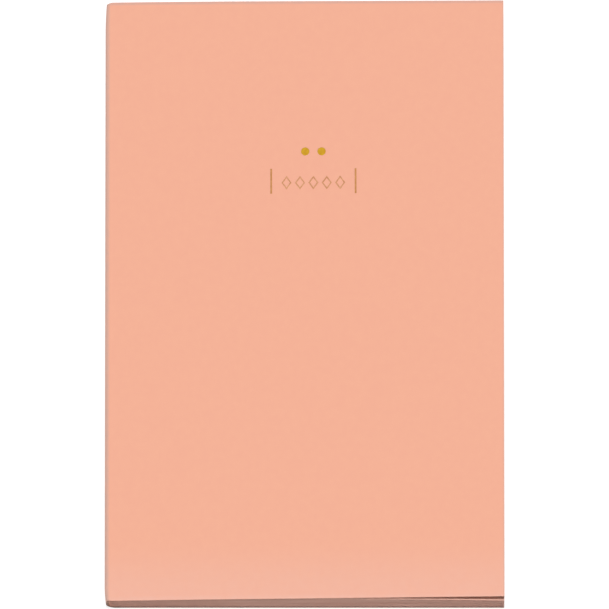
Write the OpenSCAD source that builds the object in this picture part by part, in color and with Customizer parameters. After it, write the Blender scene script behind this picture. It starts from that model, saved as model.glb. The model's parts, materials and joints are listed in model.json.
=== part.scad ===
// Softcover notebook lying on its back cover, spine to the left, head away from the viewer.
// The origin is on the table under the middle of the book: +X to the fore-edge, +Y to the head, +Z up.

/* [Book] */
// Width from the spine to the fore-edge
book_w = 139.7; // [125:0.1:170]
// Height from the tail to the head
book_h = 215.9; // [160:0.1:260]
// How much shorter the trimmed fore-edge is than the spine, at the head
head_skew = 0.5; // [0:0.1:2]
// How far the lifted tail corner of the front cover draws back from the leaves
tail_draw = 0.5; // [0:0.1:1]

/* [Page block] */
// Thickness of the leaves at their crest, where they are thickest
block_t = 12; // [9:0.1:20]
// Distance from the spine to the crest
crest_x = 83; // [75:1:95]
// How much thinner the leaves are pressed at the spine than at the crest
spine_thin = 3.2; // [1:0.1:4]
// How much thinner they lie at the fore-edge than at the crest
fore_thin = 1.8; // [0.8:0.1:2.5]

/* [Cover] */
// Thickness of the coated card that wraps the book
cover_t = 0.5; // [0.3:0.05:0.6]
// Outer radius of the fold between the front cover and the spine
front_fold_r = 1.6; // [1.2:0.1:2]
// Outer radius of the fold between the back cover and the spine
back_fold_r = 4; // [3:0.1:4.5]
// How far round that fold, in degrees below the spine, the card creases when the cover opens
back_crease = 35; // [20:5:60]
// Distance from the spine to where the sprung front cover leaves the leaves
spring_start = 57; // [40:1:57]
// Air between the front cover's lining and the first leaf, near the spine
cover_gap = 0.15; // [0.1:0.05:0.25]

/* [Linings] */
// Thickness of an endpaper
endpaper_t = 0.15; // [0.1:0.01:0.18]
// Distance that an endpaper pasted to a cover stays back from its fold
paste_inset = 1; // [0.5:0.1:3]
// Thickness of the glue and mull on the spine of the leaves
lining_t = 0.45; // [0.2:0.05:0.5]

/* [Foil stamping] */
// Distance from the spine to the middle of the stamping
stamp_x = 73; // [73:0.5:100]
// Depth to which the stamp presses the card in
stamp_depth = 0.15; // [0.1:0.01:0.2]
// Thickness of the foil on the floor of its recess
foil_t = 0.08; // [0.05:0.01:0.09]
// Distance from the head to the centres of the dots
dot_from_head = 54.7; // [30:0.1:54.7]
// Diameter of a dot
dot_d = 2.9; // [1:0.1:5]
// Distance between the centres of the dots
dot_pitch = 5.75; // [5.1:0.05:10]
// Distance from the head to the middle of the bars
row_from_head = 65.4; // [65.4:0.1:100]
// Height of an upright bar
bar_h = 9; // [4:0.1:12]
// Width of an upright bar
bar_w = 0.6; // [0.3:0.05:1]
// Distance between the middles of the bars
bar_pitch = 29.6; // [26:0.1:31]
// How far the middle of the lozenges lies from the middle of the bars, towards the tail
lozenge_drop = 0.6; // [0:0.1:1]
// Number of open lozenges between the bars
lozenge_count = 5; // [3:1:5]
// Distance between the middles of two lozenges
lozenge_pitch = 4.7; // [4:0.1:5]
// Width of a lozenge
lozenge_w = 3.5; // [2:0.1:3.9]
// Height of a lozenge
lozenge_h = 4.9; // [2:0.1:8]
// Width of the foil line that draws a lozenge
lozenge_line = 0.42; // [0.2:0.02:0.5]

/* [Hidden] */
spare = 1;
fold_steps = 10;
curve_steps = 16;
circle_faces = 64;

peach = "#F5B399";
edge_tint = "#D9A593";
pale_peach = "#F6CCBA";
mull_white = "#E9E4DA";
gold = "#D0A03A";

// Undersides of the sheets that are stacked on the back cover
back_paste_z = cover_t;
back_fly_z = back_paste_z + endpaper_t;
leaves_z = back_fly_z + endpaper_t;
crest_z = leaves_z + block_t;

// Over the crest and down to the fore-edge, the leaves lie on one arc
fore_run = book_w - crest_x;
fore_r = (fore_run * fore_run + fore_thin * fore_thin) / (2 * fore_thin);
fore_cz = crest_z - fore_r;
spring_lean = asin((crest_x - spring_start) / fore_r);

// From the spine up to there they lie on a larger arc, which touches the first one where the front
// cover springs off, and every layer above them shares its centre
spring_foot = [spring_start, fore_cz + fore_r * cos(spring_lean)];
rise = spring_foot - [0, crest_z - spine_thin];
leaves_r = rise * rise / (2 * rise * [-sin(spring_lean), cos(spring_lean)]);
swell_cx = spring_start + leaves_r * sin(spring_lean);
swell_cz = spring_foot[1] - leaves_r * cos(spring_lean);
fly_r = leaves_r + endpaper_t;
paste_r = fly_r + cover_gap;
inner_r = paste_r + endpaper_t;
outer_r = inner_r + cover_t;

// The front fold touches the upright of the spine and the cover's large arc
fold_lean = asin((swell_cx - front_fold_r) / (outer_r - front_fold_r));
fold_cz = swell_cz + (outer_r - front_fold_r) * cos(fold_lean);
hinge_x = swell_cx - outer_r * sin(fold_lean);
hinge_z = swell_cz + outer_r * cos(fold_lean);
paste_lean = asin((swell_cx - hinge_x - paste_inset) / outer_r);

// From here the front cover runs straight on to the fore-edge
spring_x = swell_cx - outer_r * sin(spring_lean);
spring_z = swell_cz + outer_r * cos(spring_lean);
top_z = spring_z + (book_w - spring_x) * tan(spring_lean);

// The back cover turns on the outer face of its fold, where the card creases
back_hinge_x = back_fold_r * (1 - cos(back_crease));
back_hinge_z = back_fold_r * (1 - sin(back_crease));

leaves_x = cover_t + lining_t;
leaves_lean = asin((swell_cx - leaves_x) / leaves_r);
leaves_corner_r = back_fold_r - leaves_z;

echo(front_hinge = [hinge_x - book_w / 2, hinge_z], back_hinge = [back_hinge_x - book_w / 2, back_hinge_z]);

function arc(x, z, r, from, to, steps) =
    [for (i = [0 : steps]) let (a = from + (to - from) * i / steps) [x + r * cos(a), z + r * sin(a)]];

function backwards(points) = [for (i = [len(points) - 1 : -1 : 0]) points[i]];

// A surface of the front cover, at radius r from the centre of the large arc, from lean on
function cover_line(r, lean) = concat(
    arc(swell_cx, swell_cz, r, 90 + lean, 90 + spring_lean, curve_steps),
    [[book_w, swell_cz + r / cos(spring_lean) + (book_w - swell_cx) * tan(spring_lean)]]);

// A surface of the leaves: the large arc, and then the arc over the crest to the fore-edge
function leaves_line(r, lean) =
    let (over_r = r - leaves_r + fore_r)
    concat(
        arc(swell_cx, swell_cz, r, 90 + lean, 90 + spring_lean, curve_steps),
        backwards(arc(crest_x, fore_cz, over_r, 90 - asin(fore_run / over_r), 90 + spring_lean, curve_steps)));

function layer(upper, lower) = concat(upper, backwards(lower));

// Seen from above, the trimmed book, wider than its pieces at the spine and the fore-edge.
// Its tail edge draws back by this much at the fore-edge.
module trimmed_outline(draw) {
    far = book_w + spare;
    polygon([
        [-spare, -book_h / 2],
        [0, -book_h / 2],
        [far, -book_h / 2 + far * draw / book_w],
        [far, book_h / 2 - far * head_skew / book_w],
        [0, book_h / 2],
        [-spare, book_h / 2]
    ]);
}

// A piece with the same section from tail to head, trimmed with the book
module run_of(points, draw = 0) {
    translate([-book_w / 2, 0, 0])
        intersection() {
            rotate([90, 0, 0])
                linear_extrude(height = book_h + 2 * spare, center = true)
                    polygon(points);
            translate([0, 0, -spare])
                linear_extrude(height = top_z + 2 * spare)
                    trimmed_outline(draw);
        }
}

// Flat shapes on the front cover's outer face, y measured from the spine's head, from z = low to high
module stamped(low, high) {
    translate([spring_x - book_w / 2, book_h / 2, spring_z])
        rotate([0, -spring_lean, 0])
            translate([stamp_x - spring_start, 0, low])
                linear_extrude(height = high - low)
                    children();
}

module dots_shape() {
    for (side = [-1, 1])
        translate([side * dot_pitch / 2, -dot_from_head])
            circle(d = dot_d, $fn = circle_faces);
}

module bars_shape() {
    for (side = [-1, 1])
        translate([side * bar_pitch / 2, -row_from_head])
            square([bar_w, bar_h], center = true);
}

module lozenge(w, h) {
    polygon([[w / 2, 0], [0, h / 2], [-w / 2, 0], [0, -h / 2]]);
}

module lozenges_shape() {
    // The line keeps its width on the sloping sides, so the inner lozenge is smaller by this share
    side_l = norm([lozenge_w, lozenge_h]);
    inner = 1 - 2 * lozenge_line * side_l / (lozenge_w * lozenge_h);
    for (i = [0 : lozenge_count - 1])
        translate([(i - (lozenge_count - 1) / 2) * lozenge_pitch, -row_from_head - lozenge_drop])
            difference() {
                lozenge(lozenge_w, lozenge_h);
                lozenge(lozenge_w * inner, lozenge_h * inner);
            }
}

module foil() {
    color(gold)
        stamped(-stamp_depth, foil_t - stamp_depth)
            children();
}

module front_cover() {
    color(peach)
        difference() {
            run_of(layer(cover_line(outer_r, fold_lean), cover_line(inner_r, fold_lean)), tail_draw);
            stamped(-stamp_depth, spare) {
                dots_shape();
                bars_shape();
                lozenges_shape();
            }
        }
}

module front_pastedown() {
    color(pale_peach)
        run_of(layer(cover_line(inner_r, paste_lean), cover_line(paste_r, paste_lean)), tail_draw);
}

module foil_dots() {
    foil() dots_shape();
}

module foil_bars() {
    foil() bars_shape();
}

module foil_lozenges() {
    foil() lozenges_shape();
}

module spine_cover() {
    crease = 180 + back_crease;
    color(peach)
        run_of(concat(
            arc(front_fold_r, fold_cz, front_fold_r, 90 + fold_lean, 180, fold_steps),
            arc(back_fold_r, back_fold_r, back_fold_r, 180, crease, fold_steps),
            arc(back_fold_r, back_fold_r, back_fold_r - cover_t, crease, 180, fold_steps),
            arc(front_fold_r, fold_cz, front_fold_r - cover_t, 180, 90 + fold_lean, fold_steps)));
}

module spine_lining() {
    color(mull_white)
        run_of([
            [cover_t, back_fold_r],
            [leaves_x, back_fold_r],
            [leaves_x, fold_cz],
            [cover_t, fold_cz]
        ]);
}

module front_flyleaf() {
    color(pale_peach)
        run_of(layer(leaves_line(fly_r, fold_lean), leaves_line(leaves_r, fold_lean)));
}

module page_block() {
    corner_x = leaves_x + leaves_corner_r;
    corner_z = leaves_z + leaves_corner_r;
    color(edge_tint)
        run_of(concat(
            leaves_line(leaves_r, leaves_lean),
            [[book_w, leaves_z]],
            arc(corner_x, corner_z, leaves_corner_r, 270, 180, fold_steps)));
}

module back_flyleaf() {
    fly_x = leaves_x + leaves_corner_r;
    color(pale_peach)
        run_of([[fly_x, back_fly_z], [book_w, back_fly_z], [book_w, leaves_z], [fly_x, leaves_z]]);
}

module back_pastedown() {
    paste_x = back_fold_r + paste_inset;
    color(pale_peach)
        run_of([
            [paste_x, back_paste_z],
            [book_w, back_paste_z],
            [book_w, back_fly_z],
            [paste_x, back_fly_z]
        ]);
}

module back_cover() {
    crease = 180 + back_crease;
    color(peach)
        run_of(concat(
            arc(back_fold_r, back_fold_r, back_fold_r, crease, 270, fold_steps),
            [[book_w, 0], [book_w, cover_t]],
            arc(back_fold_r, back_fold_r, back_fold_r - cover_t, 270, crease, fold_steps)));
}

front_cover();
front_pastedown();
foil_dots();
foil_bars();
foil_lozenges();
spine_cover();
spine_lining();
front_flyleaf();
page_block();
back_flyleaf();
back_pastedown();
back_cover();
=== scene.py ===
"""The looks of the softcover notebook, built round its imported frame.

Every section is drawn in the book's own plane: x runs from the outer face of the spine to the
fore-edge and z up from the table. The wrap, the sheets and the leaves follow that section from tail
to head, and the foil is the frame's own, seen through recesses that are cut to its outline.
"""

import json
import logging
import math
import random
from collections.abc import Callable
from dataclasses import dataclass, field
from enum import Enum

import bmesh
import bpy
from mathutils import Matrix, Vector


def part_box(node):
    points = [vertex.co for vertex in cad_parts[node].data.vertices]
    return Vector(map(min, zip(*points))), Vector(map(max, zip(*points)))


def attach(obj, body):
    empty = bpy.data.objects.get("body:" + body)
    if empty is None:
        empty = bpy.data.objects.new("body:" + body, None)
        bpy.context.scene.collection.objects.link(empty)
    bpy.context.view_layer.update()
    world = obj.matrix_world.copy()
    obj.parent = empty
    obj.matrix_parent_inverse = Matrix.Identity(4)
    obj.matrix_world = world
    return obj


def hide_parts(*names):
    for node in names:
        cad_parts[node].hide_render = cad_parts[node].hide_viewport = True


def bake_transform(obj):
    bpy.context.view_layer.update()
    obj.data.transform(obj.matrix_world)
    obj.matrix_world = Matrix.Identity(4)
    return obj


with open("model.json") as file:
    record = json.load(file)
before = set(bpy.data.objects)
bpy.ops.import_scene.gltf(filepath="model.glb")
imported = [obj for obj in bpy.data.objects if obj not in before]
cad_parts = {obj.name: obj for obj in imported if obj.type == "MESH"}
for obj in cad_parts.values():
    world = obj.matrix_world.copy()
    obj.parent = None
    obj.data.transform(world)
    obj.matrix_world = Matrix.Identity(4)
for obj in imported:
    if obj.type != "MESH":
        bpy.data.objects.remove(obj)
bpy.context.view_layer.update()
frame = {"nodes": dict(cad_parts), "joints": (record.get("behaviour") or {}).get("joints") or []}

MM = 0.001
REST_ATTRIBUTE = "rest"
LEAF_ATTRIBUTE = "leaf"
BEND_STEPS = 30
COVER_STEPS = 18
CREST_STEPS = 16
FRONT_FOLD_STEPS = 16
BACK_FOLD_STEPS = 54
PINCH_ROWS = 9
MOST_SMOOTH_CORNERS = 4
NARROW_BAND = (0.35, 0.65)
WIDE_BAND = (0.3, 0.7)
FULL_BAND = (0.0, 1.0)
Colour = tuple[float, float, float, float]
Socket = bpy.types.NodeSocket
WHITE: Colour = (1.0, 1.0, 1.0, 1.0)

log = logging.getLogger("notebook")


class Body(Enum):
    """The frame's bodies that pieces ride on."""

    BLOCK = "block"
    FRONT = "front"
    BACK = "back"


class Slot(Enum):
    """The record's material slots, which a sheet carries but nothing reads."""

    CARD = "cover_card"
    EDGES = "page_edges"
    ENDPAPER = "endpaper"
    MULL = "mull"


def srgb(red: int, green: int, blue: int) -> Colour:
    """Turn a screen colour into the linear colour that a shader takes.

    Args:
        red: Red, 0 to 255.
        green: Green, 0 to 255.
        blue: Blue, 0 to 255.

    Returns:
        The linear colour, with full alpha.
    """
    # The numbers are those of the usual curve of a screen.
    shares = [channel / 255 for channel in (red, green, blue)]
    linear = [c / 12.92 if c <= 0.04045 else ((c + 0.055) / 1.055) ** 2.4 for c in shares]
    return (linear[0], linear[1], linear[2], 1.0)


def smooth(share: float) -> float:
    """Ease a share from 0 to 1 with level ends."""
    held = min(1.0, max(0.0, share))
    return held * held * (3 - 2 * held)


@dataclass(frozen=True)
class Station:
    """A point of a section, with the direction that faces out of the piece there."""

    x: float
    z: float
    out_x: float
    out_z: float

    def sunk(self, depth: float) -> tuple[float, float]:
        """Give the point this far inside the piece."""
        return self.x - self.out_x * depth, self.z - self.out_z * depth


@dataclass(frozen=True)
class BookForm:
    """The sizes of the notebook, in metres, and the lines of its section.

    A draw moves the tail edge in towards the head at the fore-edge, and a hollow moves it in halfway
    along. A hollow below zero lets the edge bow out. A pinch rounds the spine's ends, and a corner is
    how far the card is worn down next to the spine.
    """

    width: float
    height: float
    cover_t: float
    endpaper_t: float
    lining_t: float
    leaves_z: float
    front_hinge: tuple[float, float]
    back_hinge: tuple[float, float]
    front_fold_r: float = 1.6 * MM
    back_fold_r: float = 4.0 * MM
    block_t: float = 12.0 * MM
    crest_x: float = 83.0 * MM
    spine_thin: float = 3.2 * MM
    fore_thin: float = 1.8 * MM
    spring_start: float = 57.0 * MM
    cover_gap: float = 0.15 * MM
    paste_inset: float = 1.0 * MM
    head_skew: float = 0.5 * MM
    tail_draw: float = 0.5 * MM
    leaves_hollow: float = 0.1 * MM
    cover_hollow: float = -0.13 * MM
    head_pinch: float = 0.4 * MM
    head_pinch_run: float = 11.0 * MM
    tail_pinch: float = 0.5 * MM
    tail_pinch_run: float = 6.0 * MM
    pinch_reach: float = 7.0 * MM
    head_corner: float = 0.55 * MM
    tail_corner: float = 0.2 * MM
    corner_run: float = 2.8 * MM
    front_bend: float = 3.4 * MM
    back_bend: float = 2.6 * MM

    @classmethod
    def from_frame(cls) -> "BookForm":
        """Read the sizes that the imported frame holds.

        Returns:
            The form, with x of both hinges measured from the spine's outer face.
        """
        low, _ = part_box("spine_cover")
        _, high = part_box("front_cover")
        hinges = {joint["child"]: joint["pos_m"] for joint in frame["joints"]}
        lining_low, lining_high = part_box("spine_lining")
        paste_low, paste_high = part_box("back_pastedown")
        leaves_low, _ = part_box("page_block")
        front = hinges[Body.FRONT.value]
        back = hinges[Body.BACK.value]
        return cls(
            width=high.x - low.x,
            height=-2 * low.y,
            cover_t=lining_low.x - low.x,
            endpaper_t=paste_high.z - paste_low.z,
            lining_t=lining_high.x - lining_low.x,
            leaves_z=leaves_low.z,
            front_hinge=(front[0] - low.x, front[2]),
            back_hinge=(back[0] - low.x, back[2]),
        )

    @property
    def crest_z(self) -> float:
        """Height of the leaves where they are thickest."""
        return self.leaves_z + self.block_t

    @property
    def fore_r(self) -> float:
        """Radius of the leaves' arc over the crest and down to the fore-edge."""
        return ((self.width - self.crest_x) ** 2 + self.fore_thin**2) / (2 * self.fore_thin)

    @property
    def fore_cz(self) -> float:
        """Height of the centre of the arc over the crest."""
        return self.crest_z - self.fore_r

    @property
    def spring_lean(self) -> float:
        """Lean of the straight part of the sprung front cover, in radians."""
        return math.asin((self.crest_x - self.spring_start) / self.fore_r)

    @property
    def leaves_r(self) -> float:
        """Radius of the leaves' swelling, from the spine to where the cover springs off.

        Returns:
            The radius.
        """
        rise_x = self.spring_start
        rise_z = self.fore_cz + self.fore_r * math.cos(self.spring_lean) - (self.crest_z - self.spine_thin)
        off_line = rise_z * math.cos(self.spring_lean) - rise_x * math.sin(self.spring_lean)
        return (rise_x**2 + rise_z**2) / (2 * off_line)

    @property
    def swell_cx(self) -> float:
        """Distance of the centre of the swelling from the spine."""
        return self.spring_start + self.leaves_r * math.sin(self.spring_lean)

    @property
    def swell_cz(self) -> float:
        """Height of the centre of the swelling."""
        return self.fore_cz + (self.fore_r - self.leaves_r) * math.cos(self.spring_lean)

    @property
    def flyleaf_r(self) -> float:
        """Radius of the front flyleaf's upper face."""
        return self.leaves_r + self.endpaper_t

    @property
    def inner_r(self) -> float:
        """Radius of the front cover's inner face."""
        return self.flyleaf_r + self.cover_gap + self.endpaper_t

    @property
    def outer_r(self) -> float:
        """Radius of the front cover's outer face."""
        return self.inner_r + self.cover_t

    @property
    def fold_lean(self) -> float:
        """Lean of the front cover where it leaves its fold, in radians."""
        return math.asin((self.swell_cx - self.front_fold_r) / (self.outer_r - self.front_fold_r))

    @property
    def paste_lean(self) -> float:
        """Lean of the front cover where its pasted endpaper starts, in radians."""
        start = self.swell_cx - self.front_hinge[0] - self.paste_inset
        return math.asin(start / self.outer_r)

    @property
    def spring_x(self) -> float:
        """Distance from the spine at which the front cover's outer face runs straight."""
        return self.swell_cx - self.outer_r * math.sin(self.spring_lean)

    @property
    def fold_cz(self) -> float:
        """Height of the centre of the front fold."""
        return self.swell_cz + (self.outer_r - self.front_fold_r) * math.cos(self.fold_lean)

    @property
    def spine_middle(self) -> float:
        """Height at which the two halves of the wrap meet on the spine."""
        return (self.fold_cz + self.back_fold_r) / 2

    @property
    def leaves_x(self) -> float:
        """Distance of the leaves from the outer face of the spine."""
        return self.cover_t + self.lining_t

    @property
    def leaves_corner_r(self) -> float:
        """Radius of the leaves' lower corner inside the back fold."""
        return self.back_fold_r - self.leaves_z

    def swelling(self, radius: float, lean_from: float) -> list[Station]:
        """Walk along the large arc from near the spine to where the front cover springs off.

        Args:
            radius: Radius of the layer.
            lean_from: Lean at the start, in radians from upright towards the spine.

        Returns:
            The stations, close together near the start, where the card bends at its hinge.
        """
        bent = lean_from - self.front_bend / radius
        leans = [lean_from + (bent - lean_from) * i / BEND_STEPS for i in range(BEND_STEPS)]
        leans += [bent + (self.spring_lean - bent) * i / COVER_STEPS for i in range(COVER_STEPS + 1)]
        stations = []
        for lean in leans:
            out_x, out_z = -math.sin(lean), math.cos(lean)
            stations.append(
                Station(self.swell_cx + radius * out_x, self.swell_cz + radius * out_z, out_x, out_z)
            )
        return stations

    def cover_run(self, radius: float, lean: float) -> list[Station]:
        """Follow a face of the front cover out to the fore-edge.

        Args:
            radius: Radius of the face along the swelling.
            lean: Lean at the start, near the fold.

        Returns:
            The stations.
        """
        stations = self.swelling(radius, lean)
        out_x, out_z = -math.sin(self.spring_lean), math.cos(self.spring_lean)
        rise = (self.width - self.swell_cx) * math.tan(self.spring_lean)
        end_z = self.swell_cz + radius / math.cos(self.spring_lean) + rise
        return [*stations, Station(self.width, end_z, out_x, out_z)]

    def leaves_height(self, x: float) -> float:
        """Find the top of the leaves.

        Args:
            x: Distance from the spine.

        Returns:
            Its height over the table.
        """
        if x < self.spring_start:
            return self.swell_cz + math.sqrt(self.leaves_r**2 - (self.swell_cx - x) ** 2)
        return self.fore_cz + math.sqrt(self.fore_r**2 - (x - self.crest_x) ** 2)

    def leaves_run(self, above: float, start_x: float) -> list[Station]:
        """Follow the leaves, or a sheet on them, from near the spine over the crest to the fore-edge.

        Args:
            above: Height of the face over the leaves.
            start_x: Distance from the spine at which it starts.

        Returns:
            The stations.
        """
        radius = self.leaves_r + above
        stations = self.swelling(radius, math.asin((self.swell_cx - start_x) / radius))
        over_r = self.fore_r + above
        end_lean = -math.asin((self.width - self.crest_x) / over_r)
        for i in range(1, CREST_STEPS + 1):
            lean = self.spring_lean + (end_lean - self.spring_lean) * i / CREST_STEPS
            out_x, out_z = -math.sin(lean), math.cos(lean)
            stations.append(
                Station(self.crest_x + over_r * out_x, self.fore_cz + over_r * out_z, out_x, out_z)
            )
        return stations

    def fold_arc(
        self, centre: tuple[float, float], radius: float, start: float, end: float, steps: int
    ) -> list[Station]:
        """Walk round a fold of the card.

        Args:
            centre: Centre of the fold, x and z.
            radius: Outer radius of the fold.
            start: First angle, in radians from +X.
            end: Last angle.
            steps: Number of even steps.

        Returns:
            Stations at even angles.
        """
        stations = []
        for i in range(steps + 1):
            angle = start + (end - start) * i / steps
            out_x, out_z = math.cos(angle), math.sin(angle)
            stations.append(Station(centre[0] + radius * out_x, centre[1] + radius * out_z, out_x, out_z))
        return stations

    def front_wrap(self) -> list[Station]:
        """Follow the wrap's outer face from the middle of the spine over the front fold to the fore-edge.

        Returns:
            The stations.
        """
        upright = [Station(0, self.spine_middle, -1, 0)]
        centre = (self.front_fold_r, self.fold_cz)
        end = math.pi / 2 + self.fold_lean
        fold = self.fold_arc(centre, self.front_fold_r, math.pi, end, FRONT_FOLD_STEPS)
        return [*upright, *fold, *self.cover_run(self.outer_r, self.fold_lean)[1:]]

    def back_wrap(self) -> list[Station]:
        """Follow the wrap's outer face from the middle of the spine round the back fold to the fore-edge.

        Returns:
            The stations.
        """
        upright = [Station(0, self.spine_middle, -1, 0)]
        centre = (self.back_fold_r, self.back_fold_r)
        down = 1.5 * math.pi
        fold = self.fold_arc(centre, self.back_fold_r, math.pi, down, BACK_FOLD_STEPS)
        return [*upright, *fold, Station(self.width, 0, 0, -1)]

    def leaves_bottom_z(self, x: float) -> float:
        """Find the underside of the leaves, with the rounded corner in the back fold.

        Args:
            x: Distance from the spine.

        Returns:
            Its height over the table.
        """
        centre_x = self.leaves_x + self.leaves_corner_r
        if x >= centre_x:
            return self.leaves_z
        drop = math.sqrt(max(0.0, self.leaves_corner_r**2 - (centre_x - x) ** 2))
        return self.leaves_z + self.leaves_corner_r - drop

    def rows(self, x: float, draw: float, hollow: float = 0.0) -> list[float]:
        """Y of every row of points across the book at a distance x from the spine.

        Args:
            x: Distance from the spine's outer face.
            draw: How far the tail edge draws back at the fore-edge.
            hollow: How far it draws back halfway between the spine and the fore-edge.

        Returns:
            The rows from tail to head, closer together where the spine is pinched. Next to the spine
            they draw in a little, where its corners are rubbed down.
        """
        corner = max(0.0, 1 - x / self.corner_run) ** 2
        way = x / self.width
        # The bow is 1 halfway and nothing at the spine and at the fore-edge.
        bow = 4 * way * (1 - way)
        tail = -self.height / 2 + draw * way + hollow * bow + self.tail_corner * corner
        head = self.height / 2 - self.head_skew * x / self.width - self.head_corner * corner
        near_tail = [tail + self.tail_pinch_run * (i / PINCH_ROWS) for i in range(PINCH_ROWS + 1)]
        near_head = [head - self.head_pinch_run * (i / PINCH_ROWS) for i in range(PINCH_ROWS, -1, -1)]
        return near_tail + near_head

    def pinched(self, x: float, y: float) -> float:
        """Move a place in for the pinch that rounds the spine's ends towards the head and the tail.

        Args:
            x: Distance from the spine.
            y: Place from tail to head.

        Returns:
            The new distance from the spine.
        """
        from_head = 1 - (self.height / 2 - y) / self.head_pinch_run
        from_tail = 1 - (y + self.height / 2) / self.tail_pinch_run
        depth = self.head_pinch * max(0.0, from_head) ** 2 + self.tail_pinch * max(0.0, from_tail) ** 2
        return x + depth * (1 - smooth(x / self.pinch_reach))

    def placed(self, x: float, y: float, z: float) -> Vector:
        """Put a point of the section, measured from the spine, into the row frame."""
        return Vector((self.pinched(x, y) - self.width / 2, y, z))


@dataclass(frozen=True)
class Grain:
    """A noise: its lumps a metre and their detail, and how deep and how strongly it is pressed in."""

    scale: float
    detail: float
    depth: float = 0.0
    strength: float = 0.0


@dataclass(frozen=True)
class Fade:
    """A share that is at its most up to a near distance, in metres, and gone at a far one."""

    near: float
    far: float
    most: float


class Nodes:
    """A short way to build a material's node tree."""

    def __init__(self, name: str) -> None:
        """Start a material with a Principled shader.

        Args:
            name: Name of the material.
        """
        self.material = bpy.data.materials.new(name)
        self.material.use_nodes = True
        self.tree = self.material.node_tree
        self.shader = self.tree.nodes["Principled BSDF"]

    def add(self, kind: str, **settings: object) -> bpy.types.Node:
        """Add a node and set its properties and unlinked inputs.

        Args:
            kind: Blender's name of the node type.
            **settings: Properties by name, or inputs by name with spaces written as underscores.

        Returns:
            The new node.
        """
        node = self.tree.nodes.new(kind)
        for name, value in settings.items():
            if hasattr(node, name):
                setattr(node, name, value)
            else:
                node.inputs[name.replace("_", " ")].default_value = value
        return node

    def link(self, source: Socket, target: Socket) -> None:
        """Join an output to an input."""
        self.tree.links.new(source, target)

    def colour(self, source: Socket) -> None:
        """Take the shader's colour from an output."""
        self.link(source, self.shader.inputs["Base Color"])

    def place(self) -> Socket:
        """Give the point of the closed book, in metres, which a piece keeps when it bends."""
        return self.add("ShaderNodeAttribute", attribute_name=REST_ATTRIBUTE).outputs["Vector"]

    def solid_place(self) -> Socket:
        """Give the point, in metres, on a piece of the frame's own."""
        return self.add("ShaderNodeTexCoord").outputs["Object"]

    def stretched(self, vector: Socket, stretch: tuple[float, float, float]) -> Socket:
        """Scale a place along each axis.

        Args:
            vector: The place.
            stretch: The factors along x, y and z.

        Returns:
            The scaled place.
        """
        scaled = self.add("ShaderNodeVectorMath", operation="MULTIPLY")
        scaled.inputs[1].default_value = stretch
        self.link(vector, scaled.inputs[0])
        return scaled.outputs["Vector"]

    def line_distance(self, vector: Socket, inward: Vector, start: float) -> Socket:
        """Measure how far a place lies inside a straight edge.

        Args:
            vector: The place.
            inward: Direction into the sheet from the edge.
            start: What the place's product with that direction is on the edge.

        Returns:
            The distance, in metres.
        """
        product = self.add("ShaderNodeVectorMath", operation="DOT_PRODUCT")
        product.inputs[1].default_value = inward
        self.link(vector, product.inputs[0])
        return self.worked("SUBTRACT", product.outputs["Value"], start)

    def fold_distance(self, vector: Socket, x: float, z: float) -> Socket:
        """Measure how far a place lies from a line that runs from tail to head.

        Args:
            vector: The place.
            x: Where the line lies across the book.
            z: Its height over the table.

        Returns:
            The distance, in metres.
        """
        flat = self.stretched(vector, (1, 0, 1))
        distance = self.add("ShaderNodeVectorMath", operation="DISTANCE")
        distance.inputs[1].default_value = (x, 0, z)
        self.link(flat, distance.inputs[0])
        return distance.outputs["Value"]

    def fade(self, distance: Socket, fade: Fade) -> Socket:
        """Fade a share out with distance.

        Args:
            distance: The distance, in metres.
            fade: Where the share falls, and its most.

        Returns:
            The share.
        """
        fading = self.add("ShaderNodeMapRange", interpolation_type="SMOOTHSTEP")
        fading.inputs["From Min"].default_value = fade.near
        fading.inputs["From Max"].default_value = fade.far
        fading.inputs["To Min"].default_value = fade.most
        fading.inputs["To Max"].default_value = 0.0
        self.link(distance, fading.inputs["Value"])
        return fading.outputs["Result"]

    def most_of(self, *shares: Socket) -> Socket:
        """Take the largest of some shares.

        Args:
            *shares: The shares.

        Returns:
            The largest.
        """
        value = shares[0]
        for share in shares[1:]:
            value = self.worked("MAXIMUM", value, share)
        return value

    def worked(self, operation: str, first: Socket, second: Socket | float) -> Socket:
        """Put two values, or a value and a number, through a Math node.

        Args:
            operation: Blender's name of the operation.
            first: The first value.
            second: The second value or the number.

        Returns:
            The result.
        """
        node = self.add("ShaderNodeMath", operation=operation)
        self.link(first, node.inputs[0])
        if isinstance(second, Socket):
            self.link(second, node.inputs[1])
        else:
            node.inputs[1].default_value = second
        return node.outputs[0]

    def blended(self, share: Socket, under: Socket, over: Colour) -> Socket:
        """Lay a colour over another by a share.

        Args:
            share: How much of the upper colour shows.
            under: The lower colour.
            over: The upper colour.

        Returns:
            The colour output.
        """
        mix = self.add("ShaderNodeMix", data_type="RGBA")
        self.link(share, mix.inputs["Factor"])
        colours = [socket for socket in mix.inputs if socket.type == "RGBA"]
        self.link(under, colours[0])
        colours[1].default_value = over
        return [socket for socket in mix.outputs if socket.type == "RGBA"][0]

    def noise(self, vector: Socket, grain: Grain) -> Socket:
        """Make a noise.

        Args:
            vector: The place.
            grain: Its lumps a metre and their detail.

        Returns:
            The noise's value.
        """
        texture = self.add("ShaderNodeTexNoise", Scale=grain.scale, Detail=grain.detail)
        self.link(vector, texture.inputs["Vector"])
        return texture.outputs["Fac"]

    def between(self, share: Socket, band: tuple[float, float], first: Colour, second: Colour) -> Socket:
        """Mix two colours as a value crosses a band.

        Args:
            share: The value.
            band: Values at which the first and the second colour hold.
            first: The first colour.
            second: The second colour.

        Returns:
            The colour output.
        """
        ramp = self.add("ShaderNodeValToRGB")
        for element, position, colour in zip(ramp.color_ramp.elements, band, (first, second)):
            element.position = position
            element.color = colour
        self.link(share, ramp.inputs["Fac"])
        return ramp.outputs["Color"]

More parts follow.
